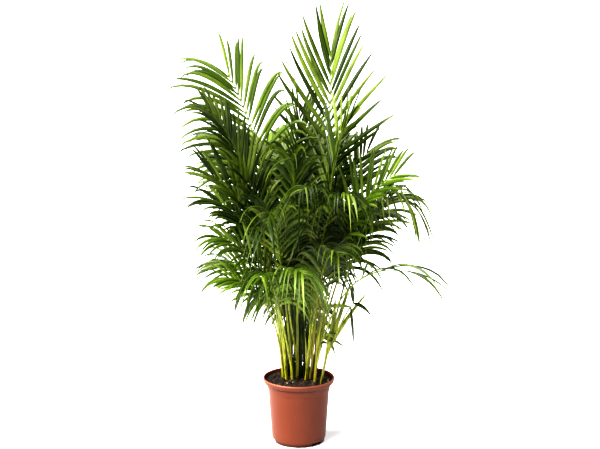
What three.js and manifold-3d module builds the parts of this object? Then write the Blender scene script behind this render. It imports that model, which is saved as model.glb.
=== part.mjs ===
// A potted feather palm: a nursery pot full of soil and a clump of canes with arching fronds.
// Millimetres, +Z up. The origin is the middle of the pot's underside, +X is to the right of
// the front view and +Y is to its back.
import * as THREE from "three";
import { mergeVertices } from "three/addons/utils/BufferGeometryUtils.js";
import Module from "manifold-3d";

const wasm = await Module();
wasm.setup();

// ---- Driving dimensions ----

const pot = {
  height: 221,
  rimRadius: 120, // outside of the flared lip
  // Outline of the lip from below its outer edge round to the inside: [in from the rim, down from the top].
  lip: [[9.5, 20], [3, 15], [0, 9], [0, 2], [2.5, 0], [5, 1], [7, 9], [12, 17]],
  neckRadius: 106.5, // wall under the lip
  neckDepth: 25, // from the lip's upper edge down to where the wall starts to flare
  collarRadius: 104.5, // foot of the thicker collar under the lip
  collarFoot: 180,
  collarStep: 2, // the collar stands out from the wall by this much, over as much height
  heelRadius: 90.5, // where the wall turns in to the foot
  heelHeight: 16,
  footRadius: 86.5,
  wall: 2,
  floor: 3,
  sides: 36,
};

const drain = {
  notches: 3,
  first: -47.5, // where the first notch is, in degrees from +X
  arc: 27,
  height: 10,
  depth: 16,
  shoulder: [0.86, 0.7], // a notch narrows to this share of its width, at this share of its height
  crown: 0.6, // and to this share at its top
  holes: 6,
  holeRing: 58,
  holeRadius: 5,
};

const soil = {
  edge: 212, // height of its rim against the pot
  crown: 3, // the middle stands this much higher
  flare: 4.6, // the pot is this much wider here than at its neck
  lump: 2.2,
  ripples: [0.21, 0.13], // of the lumps, outwards, in radians for each millimetre
  rings: 4,
  gap: 0.4, // around it and around each stem
};

const stem = {
  foot: 165, // the canes end here, down in the soil
  baseRadius: 5,
  splitRadius: 3.3, // a stalk where it leaves its cane
  neckRadius: 2.8, // a stalk where its leaflets begin
  tipRadius: 1.1,
  ribSpan: 1.25, // half the rib's width and the height of its crest, by its radius
  ribBase: 0.62, // how far its flat underside is below its middle, by its radius
  spearRadius: 3,
  spearTaper: 0.9,
  spearShares: [0, 0.3, 0.65, 0.97], // where a spear has its sections
  sides: 6,
  step: 80, // between stations along a stalk
  joint: 0.3, // gap between a stalk's end and its frond
  clear: 1.5, // free space between bare stalks
  ribClear: 7, // and round the part with leaflets
};

const leaflet = {
  spacing: 40, // along the rib
  neck: 12, // from the rib's start to the first pair
  width: 16,
  rootWidth: 6,
  ridge: 2.6, // height of the folded blade
  widest: 0.42, // where it is widest, as a share of its length
  shortest: 0.55, // the first and last ones are shorter by up to this share of the frond's length of leaf
  swell: [0.2, 0.93], // the part of a half wave that their length follows along the rib
  narrowest: 0.6, // a short one is narrower, down to this share of its width
  baseAngle: 55, // from the rib, at the frond's start
  tipAngle: 28, // and at its tip
  angleCurve: 0.8, // how the angle changes between them, as a power of the share of the way
  lift: 25, // upwards out of the frond's plane, in a V
  sagCurve: 2.4, // how the sag grows along a leaflet, as a power
  spread: { out: 4, up: 7, length: 0.07, sag: 0.3 }, // random changes up to this much
  clear: 1.2, // free space around a blade
  bare: 0.02, // share of a blade's inner half that may touch another stem or frond
  bareToPair: 0.3, // share that may touch its own rib and the other one of its pair
};

// Turns tried when a blade would touch another: [away from the rib, upwards, share of its length].
const bends = [
  [0, 0, 1], [9, 0, 1], [-9, 0, 1], [0, 12, 1], [0, -14, 1], [12, 12, 1], [12, -14, 1],
  [18, 0, 1], [18, 12, 1], [0, -28, 1], [18, -28, 1], [0, 0, 0.75], [14, 14, 0.7], [14, -14, 0.7],
  [0, -44, 0.8], [18, -44, 0.7], [0, 0, 0.5], [20, 14, 0.5], [20, -30, 0.5], [20, -50, 0.5],
];

// Canes by their place on the soil. A frond's stalk passes through `mid` and ends at `tip`. The
// first one of a cane comes out of the soil, the others leave it `split` above the soil. Leaflets
// of `leaf` length start at the share `from` of the stalk and sag by `droop`, down or towards
// `hang`. `roll` turns the frond about its stalk in degrees, `open` scales the angles of the
// leaflets, and `wide`, `pairs` and `root` stand in for the usual leaflet width, the number of
// pairs that fits and the stalk's radius at its foot.
const canes = [
  {
    x: 24, y: 30,
    fronds: [
      { mid: [85, 40, 790], tip: [105, 90, 1300], from: 0.6, leaf: 285, droop: 0.05, hang: [1, 0, 0.1],
        roll: 35, open: 1.25, wide: 15, pairs: 12 },
      { split: 90, mid: [15, 30, 850], tip: [5, 60, 1095], from: 0.55, leaf: 255, droop: 0.1 },
      { split: 40, mid: [65, 130, 800], tip: [115, 260, 965], from: 0.5, leaf: 240, droop: 0.15,
        wide: 17 },
    ],
  },
  {
    x: 47, y: 15,
    fronds: [
      { mid: [140, 70, 725], tip: [235, 130, 970], from: 0.55, leaf: 245, droop: 0.25, roll: 45 },
      { split: 60, mid: [180, 120, 650], tip: [325, 230, 800], from: 0.5, leaf: 210, droop: 0.35,
        roll: 40 },
      { split: 110, mid: [155, 30, 620], tip: [240, 60, 760], from: 0.54, leaf: 250, droop: 0.5,
        roll: 50 },
    ],
  },
  {
    x: 51, y: -44,
    fronds: [
      { mid: [100, -40, 815], tip: [160, -100, 1090], from: 0.56, leaf: 250, droop: 0.12, roll: 40 },
      { split: 70, mid: [145, -70, 710], tip: [305, -170, 930], from: 0.55, leaf: 205, droop: 0.12,
        roll: 60, open: 1.15 },
      { split: 40, mid: [155, -110, 540], tip: [325, -190, 625], from: 0.72, leaf: 260, droop: 0.55,
        roll: -15, open: 0.65, pairs: 3 },
    ],
  },
  {
    x: 67, y: -20,
    fronds: [
      { mid: [220, -60, 760], tip: [355, -120, 825], from: 0.6, leaf: 150, droop: 1, roll: 20, open: 1.3,
        wide: 10 },
      { split: 110, mid: [150, -55, 440], tip: [180, -75, 495], from: 0.86, leaf: 140, droop: 0.3,
        roll: 85, open: 2.1, wide: 17, pairs: 2 },
    ],
    spears: [
      { split: 100, mid: [115, -30, 430], tip: [120, -35, 510], root: 5 },
      { split: 120, mid: [140, -35, 455], tip: [175, -55, 575], root: 5 },
      { split: 115, mid: [165, -25, 435], tip: [230, -40, 525], root: 5 },
    ],
  },
  {
    x: -18, y: 42,
    fronds: [
      { mid: [-100, 40, 835], tip: [-235, 90, 1230], from: 0.66, leaf: 325, droop: 0.33, roll: -95,
        open: 1.1, wide: 15, pairs: 13 },
      { split: 80, mid: [-55, 140, 785], tip: [-120, 320, 965], from: 0.5, leaf: 240, droop: 0.2,
        wide: 17 },
      { split: 50, mid: [-105, 170, 620], tip: [-185, 340, 665], from: 0.5, leaf: 220, droop: 0.35,
        wide: 17 },
    ],
    spears: [
      { split: 25, mid: [-8, 58, 380], tip: [-14, 80, 520] },
    ],
  },
  {
    x: -37, y: -5,
    fronds: [
      { mid: [-130, -60, 785], tip: [-280, -130, 1125], from: 0.58, leaf: 210, droop: 0.2, roll: -70,
        open: 0.8 },
      { split: 60, mid: [-110, -90, 680], tip: [-270, -170, 925], from: 0.66, leaf: 245, droop: 0.15,
        roll: -60, open: 0.85 },
      { split: 35, mid: [-95, -110, 560], tip: [-245, -190, 735], from: 0.6, leaf: 195, droop: 0.35,
        roll: -60, open: 0.85 },
    ],
  },
  {
    x: -50, y: 58,
    fronds: [
      { mid: [-125, 100, 730], tip: [-265, 170, 1010], from: 0.56, leaf: 215, droop: 0.35, roll: -55,
        wide: 15 },
      { split: 60, mid: [-125, 80, 685], tip: [-255, 160, 930], from: 0.56, leaf: 200, droop: 0.35,
        roll: -55 },
      { split: 35, mid: [-115, 60, 505], tip: [-245, 110, 600], from: 0.64, leaf: 185, droop: 0.3,
        roll: -50 },
    ],
    spears: [
      { split: 20, mid: [-64, 74, 390], tip: [-72, 92, 540] },
    ],
  },
  {
    x: -52, y: 20,
    fronds: [
      { mid: [-115, -20, 620], tip: [-275, -50, 830], from: 0.6, leaf: 200, droop: 0.3, roll: -60,
        open: 0.8 },
      { split: 40, mid: [-110, -70, 490], tip: [-230, -120, 590], from: 0.62, leaf: 170, droop: 0.3,
        roll: -50 },
      { split: 70, mid: [-85, 15, 460], tip: [-185, 20, 540], from: 0.62, leaf: 155, droop: 0.25,
        roll: -50 },
    ],
  },
  {
    x: -4, y: 8,
    fronds: [
      { mid: [-10, -60, 800], tip: [-30, -170, 975], from: 0.5, leaf: 230, droop: 0.4 },
      { split: 60, mid: [-35, -140, 565], tip: [10, -290, 640], from: 0.5, leaf: 165, droop: 1,
        open: 1.3, wide: 16 },
    ],
    spears: [
      { split: 20, mid: [-2, 22, 360], tip: [-2, 34, 480] },
    ],
  },
  {
    x: 18, y: -16,
    fronds: [
      { mid: [60, -120, 760], tip: [0, -290, 890], from: 0.5, leaf: 165, droop: 1, open: 1.3 },
      { split: 60, mid: [80, -130, 735], tip: [160, -255, 875], from: 0.5, leaf: 165, droop: 1,
        open: 1.3 },
      { split: 35, mid: [75, -120, 600], tip: [120, -250, 690], from: 0.5, leaf: 195, droop: 0.5 },
    ],
    spears: [
      { split: 15, mid: [25, -60, 310], tip: [20, -65, 395] },
    ],
  },
  {
    x: 5, y: 66,
    fronds: [
      { mid: [0, 140, 750], tip: [10, 310, 950], from: 0.52, leaf: 240, droop: 0.25, wide: 18 },
      { split: 60, mid: [-30, 190, 650], tip: [-50, 400, 705], from: 0.5, leaf: 230, droop: 0.45,
        wide: 18 },
      { split: 35, mid: [5, 170, 580], tip: [5, 330, 590], from: 0.5, leaf: 205, droop: 0.45, wide: 18 },
    ],
    spears: [
      { split: 15, mid: [-10, 80, 380], tip: [-18, 92, 540] },
    ],
  },
  {
    x: 45, y: 62,
    fronds: [
      { mid: [135, 190, 615], tip: [245, 310, 720], from: 0.5, leaf: 210, droop: 0.4, wide: 15 },
      { split: 60, mid: [110, 180, 655], tip: [165, 380, 705], from: 0.5, leaf: 230, droop: 0.4,
        wide: 17 },
      { split: 35, mid: [150, 110, 630], tip: [250, 215, 735], from: 0.5, leaf: 175, droop: 0.35 },
    ],
    spears: [
      { split: 20, mid: [42, 74, 360], tip: [38, 86, 500] },
    ],
  },
  {
    x: -18, y: -6,
    fronds: [
      { mid: [-65, -140, 715], tip: [-95, -300, 795], from: 0.5, leaf: 220, droop: 0.45 },
      { split: 50, mid: [-80, -135, 550], tip: [-115, -265, 620], from: 0.5, leaf: 165, droop: 1,
        open: 1.3, wide: 16 },
    ],
  },
  {
    x: 36, y: 2,
    fronds: [
      { mid: [100, 15, 730], tip: [175, 25, 870], from: 0.5, leaf: 220, droop: 0.3 },
    ],
  },
  {
    x: 20, y: 88,
    fronds: [
      { mid: [30, 150, 330], tip: [30, 265, 430], from: 0.45, leaf: 160, droop: 0.9, wide: 18,
        root: 4.5 },
      { split: 40, mid: [-20, 150, 350], tip: [-60, 235, 480], from: 0.5, leaf: 150, droop: 0.8,
        wide: 18 },
      { split: 30, mid: [5, 175, 370], tip: [0, 290, 520], from: 0.45, leaf: 210, droop: 0.9, wide: 18 },
    ],
    spears: [
      { split: 20, mid: [30, 100, 360], tip: [34, 108, 480] },
    ],
  },
  {
    x: 66, y: -48,
    fronds: [
      { mid: [90, -60, 325], tip: [95, -65, 375], from: 0.86, leaf: 78, droop: 1, hang: [0.8, 0, -1],
        open: 1.2, wide: 12, pairs: 2, root: 2.4 },
    ],
  },
];

// ---- Helpers ----

const up = new THREE.Vector3(0, 0, 1);
const down = new THREE.Vector3(0, 0, -1);
const degrees = THREE.MathUtils.degToRad;

function seeded(seed) {
  let state = (seed * 7919 + 17) % 2147483647;
  return (spread) => {
    state = (state * 16807) % 2147483647;
    return (state / 2147483647 - 0.5) * 2 * spread;
  };
}

// A closed body from rings of points that run anticlockwise about the way they travel.
function loft(rings) {
  const points = [];
  const faces = [];
  const tri = (...corners) => faces.push(corners);
  const starts = rings.map((ring) => points.push(...ring) - ring.length);
  for (let i = 0; i < rings.length - 1; i++) {
    const n = rings[i].length;
    for (let j = 0; j < n; j++) {
      const k = (j + 1) % n;
      const [a, b] = [starts[i] + j, starts[i] + k];
      const [c, d] = [starts[i + 1] + k, starts[i + 1] + j];
      tri(a, b, c);
      tri(a, c, d);
    }
  }
  const last = starts.length - 1;
  for (let j = 1; j < rings[0].length - 1; j++) {
    tri(0, j + 1, j);
    tri(starts[last], starts[last] + j, starts[last] + j + 1);
  }
  return body(points, faces);
}

function body(points, faces) {
  const geometry = new THREE.BufferGeometry().setFromPoints(points);
  geometry.setIndex(faces.flat());
  return geometry;
}

function toSolid(geometry) {
  const bare = new THREE.BufferGeometry();
  bare.setAttribute("position", geometry.getAttribute("position"));
  if (geometry.index) bare.setIndex(geometry.index);
  const merged = mergeVertices(bare, 1e-3);
  const mesh = new wasm.Mesh({
    numProp: 3,
    vertProperties: merged.attributes.position.array,
    triVerts: new Uint32Array(merged.index.array),
  });
  return new wasm.Manifold(mesh);
}

function toGeometry(solid) {
  const mesh = solid.getMesh();
  const geometry = new THREE.BufferGeometry();
  geometry.setAttribute("position", new THREE.BufferAttribute(mesh.vertProperties, 3));
  geometry.setIndex(new THREE.BufferAttribute(mesh.triVerts, 1));
  return geometry;
}

function lathe(profile, sides) {
  const points = profile.map(([r, z]) => new THREE.Vector2(r, z));
  return toSolid(new THREE.LatheGeometry(points, sides).rotateX(Math.PI / 2));
}

function ringAt(centre, side, normal, radius, sides) {
  return Array.from({ length: sides }, (_, j) => {
    const turn = (j / sides) * 2 * Math.PI;
    const across = side.clone().multiplyScalar(Math.cos(turn) * radius);
    return centre.clone().add(across).addScaledVector(normal, Math.sin(turn) * radius);
  });
}

// ---- Pot and soil ----

// The wall of the pot from its foot at height `bottom` up to the lip, at a distance `inset`
// inside its outer face.
function wallProfile(inset, bottom) {
  const p = pot;
  return [
    [p.footRadius - inset, bottom],
    [p.heelRadius - inset, p.heelHeight],
    [p.collarRadius - p.collarStep - inset, p.collarFoot - p.collarStep],
    [p.collarRadius - inset, p.collarFoot],
    [p.neckRadius - inset, p.height - p.neckDepth],
  ];
}

function makePot() {
  const { height, rimRadius, wall, floor } = pot;
  const outside = wallProfile(0, 0);
  const lip = pot.lip.map(([inwards, drop]) => [rimRadius - inwards, height - drop]);
  const inside = wallProfile(wall, floor).reverse();
  let solid = lathe([[0, 0], ...outside, ...lip, ...inside, [0, floor]], pot.sides);
  for (let i = 0; i < drain.notches; i++) {
    const middle = drain.first + (i * 360) / drain.notches;
    solid = solid.subtract(notch(middle));
  }
  for (let i = 0; i < drain.holes; i++) {
    const turn = degrees(drain.first + ((i + 0.5) * 360) / drain.holes);
    const hole = new THREE.CylinderGeometry(drain.holeRadius, drain.holeRadius, 4 * floor, 8);
    hole.rotateX(Math.PI / 2).translate(drain.holeRing, 0, floor).rotateZ(turn);
    solid = solid.subtract(toSolid(hole));
  }
  return toGeometry(solid);
}

// A drain notch in the foot, a flat arch in the outer face.
function notch(middle) {
  const half = pot.footRadius * Math.sin(degrees(drain.arc / 2));
  const [waist, rise] = drain.shoulder;
  const rightSide = [[1, -1], [waist, rise], [drain.crown, 1]];
  const leftSide = rightSide.map(([x, y]) => [-x, y]).reverse();
  const shape = new THREE.Shape([...rightSide, ...leftSide].map(([x, y]) => {
    return new THREE.Vector2(half * x, drain.height * y);
  }));
  const block = new THREE.ExtrudeGeometry(shape, { depth: drain.depth * 2, bevelEnabled: false });
  block.rotateX(Math.PI / 2).rotateZ(Math.PI / 2).translate(pot.footRadius - drain.depth, 0, 0);
  return toSolid(block.rotateZ(degrees(middle)));
}

function soilHeight(r, turn) {
  const share = r / pot.neckRadius;
  const [out, back] = soil.ripples;
  const lumps = Math.sin(r * out + 3 * turn) * Math.sin(5 * turn - r * back);
  return soil.edge + soil.crown * (1 - share * share) + soil.lump * lumps * Math.min(1, 4 * (1 - share));
}

function makeSoil(feet) {
  const rings = [];
  const sides = wallProfile(pot.wall + soil.gap, pot.floor + soil.gap);
  const edgeRadius = pot.neckRadius + soil.flare - soil.gap;
  sides.push([edgeRadius, soil.edge]);
  for (const [r, z] of sides) rings.push(soilRing(r, () => z));
  for (let i = 1; i < soil.rings; i++) {
    const r = edgeRadius * (1 - i / soil.rings);
    rings.push(soilRing(r, (turn) => soilHeight(r, turn)));
  }
  let solid = toSolid(loft(rings));
  for (const foot of feet) solid = solid.subtract(foot);
  return toGeometry(solid);
}

function soilRing(r, height) {
  return Array.from({ length: pot.sides }, (_, j) => {
    const turn = (j / pot.sides) * 2 * Math.PI;
    return new THREE.Vector3(r * Math.cos(turn), r * Math.sin(turn), height(turn));
  });
}

// ---- Stalks ----

// The curve from `start` through `mid` to `tip`, with its frame: T along it, B to its left side
// and N up out of the frond.
function makeStalk(start, frond) {
  const mid = new THREE.Vector3(...frond.mid);
  const tip = new THREE.Vector3(...frond.tip);
  const shoulder = mid.clone().multiplyScalar(2).addScaledVector(start, -0.5).addScaledVector(tip, -0.5);
  const curve = new THREE.QuadraticBezierCurve3(start, shoulder, tip);
  curve.arcLengthDivisions = 60;
  const away = tip.clone().sub(start).setZ(0).normalize();
  const across = new THREE.Vector3().crossVectors(up, away);
  const at = (share) => {
    const centre = curve.getPointAt(share);
    const T = curve.getTangentAt(share);
    const B = across.clone().addScaledVector(T, -across.dot(T)).normalize();
    B.applyAxisAngle(T, degrees(frond.roll ?? 0));
    return { centre, T, B, N: new THREE.Vector3().crossVectors(T, B) };
  };
  return { curve, at, length: curve.getLength() };
}

function stalkRadius(share, from, root) {
  if (share < from) return THREE.MathUtils.lerp(root, stem.neckRadius, share / from);
  return THREE.MathUtils.lerp(stem.neckRadius, stem.tipRadius, (share - from) / (1 - from));
}

function stations(stalk, end) {
  const steps = Math.max(2, Math.round((end * stalk.length) / stem.step));
  return Array.from({ length: steps + 1 }, (_, i) => (end * i) / steps);
}

function tube(stalk, from, root, extra = 0) {
  const end = from - stem.joint / stalk.length;
  const rings = stations(stalk, end).map((share) => {
    const { centre, B, N } = stalk.at(share);
    return ringAt(centre, B, N, stalkRadius(share, from, root) + extra, stem.sides);
  });
  return toSolid(loft(rings));
}

// ---- Fronds ----

// One leaflet's middle and tip sections, worked out from its root on the rib.
function blade(frame, root, side, share, frond, jitter, bend) {
  const [turnOut, turnUp, scale] = bend;
  const opening = THREE.MathUtils.lerp(leaflet.baseAngle, leaflet.tipAngle, share ** leaflet.angleCurve);
  const angle = opening * (frond.open ?? 1) + turnOut + jitter.out;
  const lift = degrees(leaflet.lift + turnUp + jitter.up);
  const { T, B, N } = frame;
  const outward = B.clone().multiplyScalar(side * Math.cos(lift)).addScaledVector(N, Math.sin(lift));
  const along = T.clone().multiplyScalar(Math.cos(degrees(angle)));
  along.addScaledVector(outward, Math.sin(degrees(angle)));
  const wave = Math.sin(Math.PI * THREE.MathUtils.lerp(...leaflet.swell, share));
  const fullness = THREE.MathUtils.lerp(leaflet.shortest, 1, wave);
  const length = frond.leaf * fullness * scale * (1 + jitter.length);
  const hang = frond.hang ? new THREE.Vector3(...frond.hang).normalize() : down;
  const point = (u) => {
    const sag = frond.droop * (1 + jitter.sag) * length * u ** leaflet.sagCurve;
    return root.clone().addScaledVector(along, length * u).addScaledVector(hang, sag);
  };
  const middle = point(leaflet.widest);
  const tip = point(1);
  const heading = tip.clone().sub(root).normalize();
  const width = T.clone().addScaledVector(heading, -T.dot(heading)).normalize();
  const top = new THREE.Vector3().crossVectors(width, heading).multiplyScalar(side).normalize();
  const half = ((frond.wide ?? leaflet.width) / 2) * THREE.MathUtils.lerp(leaflet.narrowest, 1, fullness);
  return { root, middle, tip, width, top, half, length };
}

function bladePoints({ middle, tip, width, top, half }, extra) {
  return [
    middle.clone().addScaledVector(width, -half - extra).addScaledVector(top, -extra),
    middle.clone().addScaledVector(top, leaflet.ridge + extra),
    middle.clone().addScaledVector(width, half + extra).addScaledVector(top, -extra),
    tip,
  ];
}

// A frond: a three-sided rib, its crest up, with a ring at each edge of each leaflet's root, and
// the leaflets drawn out of its two sides, so that all of it is one skin.
function makeFrond(frond) {
  const points = [];
  const faces = [];
  const tri = (...corners) => faces.push(corners);
  const { stalk, roots } = frond;
  const ring = (share) => {
    const { centre, B, N } = stalk.at(share);
    const radius = stalkRadius(share, frond.from, stem.baseRadius);
    const span = radius * stem.ribSpan;
    const base = radius * -stem.ribBase;
    const start = points.length;
    points.push(
      centre.clone().addScaledVector(B, span).addScaledVector(N, base),
      centre.clone().addScaledVector(N, span),
      centre.clone().addScaledVector(B, -span).addScaledVector(N, base),
    );
    return start;
  };
  const half = leaflet.rootWidth / 2 / stalk.length;
  const first = ring(frond.from);
  tri(first, first + 2, first + 1);
  let before = first;
  const wall = (a, b, i) => {
    const j = (i + 1) % 3;
    tri(a + i, a + j, b + j);
    tri(a + i, b + j, b + i);
  };
  for (const root of roots) {
    const near = ring(root.at - half);
    const far = ring(root.at + half);
    for (let i = 0; i < 3; i++) wall(before, near, i);
    wall(near, far, 2);
    for (const [i, leaf] of [[0, root.left], [1, root.right]]) {
      if (leaf) drawOut(points, tri, near, far, i, leaf);
      else wall(near, far, i);
    }
    before = far;
  }
  tri(before, before + 1, before + 2);
  return body(points, faces);
}

// Grows a leaflet out of the rib's side between the rings `near` and `far`. Side 0 is the left
// one, from its lower edge to the crest, and side 1 the right one.
function drawOut(points, tri, near, far, i, leaf) {
  const start = points.push(...bladePoints(leaf, 0)) - 4;
  const [back, ridge, front, tip] = [start, start + 1, start + 2, start + 3];
  const j = (i + 1) % 3;
  const [a, b, c, d] = [near + i, near + j, far + j, far + i];
  if (i === 0) {
    tri(a, b, back);
    tri(b, ridge, back);
    tri(b, c, ridge);
    tri(c, front, ridge);
    tri(c, d, front);
    tri(a, back, d);
    tri(back, front, d);
  } else {
    tri(b, back, a);
    tri(a, back, ridge);
    tri(a, ridge, d);
    tri(d, ridge, front);
    tri(d, front, c);
    tri(b, c, back);
    tri(back, c, front);
  }
  const around = i === 0 ? [back, ridge, front] : [front, ridge, back];
  for (let k = 0; k < 3; k++) tri(around[k], around[(k + 1) % 3], tip);
}

// ---- Keeping clear ----

// A shape for the clearance tests: the edges and faces of a body, with a box around it.
function shape(points, edges, faces) {
  return { points, edges, faces, box: new THREE.Box3().setFromPoints(points) };
}

function bladeShape(leaf, bare) {
  const middle = leaf.root.clone().lerp(leaf.middle, bare);
  const [a, b, c] = bladePoints({ ...leaf, middle, half: leaflet.rootWidth / 2 }, leaflet.clear);
  return shape(
    [a, b, c, ...bladePoints(leaf, leaflet.clear)],
    [[0, 3], [1, 4], [2, 5], [3, 4], [4, 5], [5, 3], [3, 6], [4, 6], [5, 6]],
    [[0, 1, 4], [0, 4, 3], [1, 2, 5], [1, 5, 4], [2, 0, 3], [2, 3, 5], [3, 4, 6], [4, 5, 6], [5, 3, 6]],
  );
}

// The stretch of a stalk between two shares of its length, as four flat sides round it.
function stalkShape(frond, from, to) {
  const points = [from, to].flatMap((share) => {
    const { centre, B, N } = frond.stalk.at(share);
    const r = stalkRadius(share, frond.from, stem.baseRadius) + leaflet.clear;
    return ringAt(centre, B, N, r * Math.SQRT2, 4);
  });
  const edges = [0, 1, 2, 3].map((j) => [j, j + 4]);
  const faces = [0, 1, 2, 3].flatMap((j) => {
    const k = (j + 1) % 4;
    return [[j, k, k + 4], [j, k + 4, j + 4]];
  });
  return shape(points, edges, faces);
}

const ray = new THREE.Ray();
const hit = new THREE.Vector3();

function pierces(p, q) {
  return p.edges.some(([a, b]) => {
    ray.origin.copy(p.points[a]);
    ray.direction.copy(p.points[b]).sub(p.points[a]);
    const length = ray.direction.length();
    ray.direction.normalize();
    return q.faces.some(([i, j, k]) => {
      const found = ray.intersectTriangle(q.points[i], q.points[j], q.points[k], false, hit);
      return found && hit.distanceTo(p.points[a]) <= length;
    });
  });
}

// A leaflet springs from its own rib, side by side with its pair, so there only its outer part
// is held clear.
function touches(other, frond, pair, whole, outer) {
  const own = other.frond === frond && (other.rib || other.pair === pair);
  return own ? crosses(outer, other.outer ?? other.shape) : crosses(whole, other.shape);
}

const crosses = (p, q) => p.box.intersectsBox(q.box) && (pierces(p, q) || pierces(q, p));

// The stretches of a stalk as lines with a radius, to keep stalks clear of each other.
function stretches(stalk, frond, cane) {
  const steps = 24;
  return Array.from({ length: steps }, (_, i) => {
    const [from, to] = [i / steps, (i + 1) / steps];
    const line = new THREE.Line3(stalk.at(from).centre, stalk.at(to).centre);
    const radius = stalkRadius(from, frond.from, frond.rootRadius);
    return { line, radius, rib: to > frond.from, cane };
  });
}

function apart(p, q) {
  if (p.cane === q.cane && !p.rib && !q.rib) return true;
  const clear = p.rib || q.rib ? stem.ribClear : stem.clear;
  return p.line.distanceSqToLine3(q.line) > (p.radius + q.radius + clear) ** 2;
}

// Makes a stalk and makes sure that it is clear of those already placed.
function placeStalk(start, frond, cane, placed) {
  const stalk = makeStalk(start, frond);
  const own = stretches(stalk, frond, cane);
  if (!own.every((p) => placed.every((q) => apart(p, q)))) throw new Error(`${frond.name} is in the way`);
  placed.push(...own);
  return stalk;
}

// ---- Planting ----

const two = (number) => String(number).padStart(2, "0");

// Where a side stalk leaves the cane's first one.
function splitPoint(cane, { split }) {
  const main = cane.fronds[0].stalk;
  return main.at((soil.edge + split - stem.foot) / main.length).centre;
}

function plant() {
  const fronds = [];
  const placed = [];
  canes.forEach((cane, c) => {
    cane.name = `cane_${two(c + 1)}`;
    const foot = new THREE.Vector3(cane.x, cane.y, stem.foot);
    cane.fronds.forEach((frond, f) => {
      frond.start = f ? splitPoint(cane, frond) : foot;
      frond.rootRadius = frond.root ?? (f ? stem.splitRadius : stem.baseRadius);
      frond.name = `frond_${two(fronds.length + 1)}`;
      frond.stalk = placeStalk(frond.start, frond, cane, placed);
      frond.random = seeded(fronds.length + 1);
      fronds.push(frond);
    });
    for (const spear of cane.spears ?? []) {
      Object.assign(spear, { from: 1, rootRadius: spear.root ?? stem.spearRadius, name: "spear" });
      spear.stalk = placeStalk(splitPoint(cane, spear), spear, cane, placed);
    }
  });
  return fronds;
}

// Leaflets in pairs along each rib. One that would touch another stem or frond is turned or
// shortened by the bends above, and left out if none of them clears it.
function growLeaflets(fronds) {
  const taken = [];
  for (const frond of fronds) {
    const bare = stations(frond.stalk, frond.from);
    const ribbed = Array.from({ length: 9 }, (_, i) => THREE.MathUtils.lerp(frond.from, 1, i / 8));
    for (const [rib, shares] of [[false, bare], [true, ribbed]]) {
      for (let i = 1; i < shares.length; i++) {
        taken.push({ frond, rib, shape: stalkShape(frond, shares[i - 1], shares[i]) });
      }
    }
  }
  for (const spear of canes.flatMap((cane) => cane.spears ?? [])) {
    const shares = stem.spearShares;
    for (let i = 1; i < shares.length; i++) {
      taken.push({ shape: stalkShape(spear, shares[i - 1], shares[i]) });
    }
  }
  for (const frond of fronds) {
    const { stalk, from } = frond;
    const ribLength = (1 - from) * stalk.length - leaflet.neck - leaflet.rootWidth;
    const pairs = frond.pairs ?? Math.round(ribLength / leaflet.spacing) + 1;
    frond.roots = [];
    for (let i = 0; i < pairs; i++) {
      const share = i / (pairs - 1);
      const at = from + (leaflet.neck + ribLength * share) / stalk.length;
      const frame = stalk.at(at);
      const root = { at };
      for (const [key, side] of [["left", 1], ["right", -1]]) {
        const jitter = {};
        for (const [what, most] of Object.entries(leaflet.spread)) jitter[what] = frond.random(most);
        for (const bend of bends) {
          const leaf = blade(frame, frame.centre, side, share, frond, jitter, bend);
          const whole = bladeShape(leaf, leaflet.bare);
          const outer = bladeShape(leaf, leaflet.bareToPair);
          if (taken.some((other) => touches(other, frond, root, whole, outer))) continue;
          root[key] = leaf;
          taken.push({ frond, pair: root, shape: whole, outer });
          break;
        }
      }
      frond.roots.push(root);
    }
  }
}

// A spear is a leaf that hasn't opened yet.
function makeSpear(spear) {
  const rings = stem.spearShares.map((share) => {
    const { centre, B, N } = spear.stalk.at(share);
    return ringAt(centre, B, N, spear.rootRadius * (1 - stem.spearTaper * share ** 4), stem.sides);
  });
  return toSolid(loft(rings));
}

function makeCane(cane) {
  const stalks = cane.fronds.map((frond) => tube(frond.stalk, frond.from, frond.rootRadius));
  const spears = (cane.spears ?? []).map(makeSpear);
  return [...stalks, ...spears].reduce((joined, stalk) => joined.add(stalk));
}

const finish = {
  pot: { color: "#b4623c", roughness: 0.45 },
  soil: { color: "#2a211b", roughness: 0.95 },
  cane: { color: "#a9b83a", roughness: 0.5 },
  frond: { color: "#3f7a1c", roughness: 0.5 },
};

function add(group, name, geometry, look) {
  const mesh = new THREE.Mesh(geometry, new THREE.MeshStandardMaterial({ metalness: 0, ...look }));
  mesh.name = name;
  group.add(mesh);
}

const palm = new THREE.Group();
const fronds = plant();
growLeaflets(fronds);
const feet = canes.map(({ fronds: [main] }) => {
  return tube(main.stalk, main.from, main.rootRadius, soil.gap).translate(0, 0, -soil.gap);
});
add(palm, "pot", makePot(), finish.pot);
add(palm, "soil", makeSoil(feet), finish.soil);
for (const cane of canes) add(palm, cane.name, toGeometry(makeCane(cane)), finish.cane);
for (const frond of fronds) add(palm, frond.name, makeFrond(frond), finish.frond);

export default palm;
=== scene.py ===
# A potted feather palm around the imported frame. Places and sizes in the tables are millimetres, as
# the palm's own source has them, and everything in Blender is metres.
import math
import random

import bmesh
import bpy
from mathutils import Matrix, Vector, noise


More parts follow.
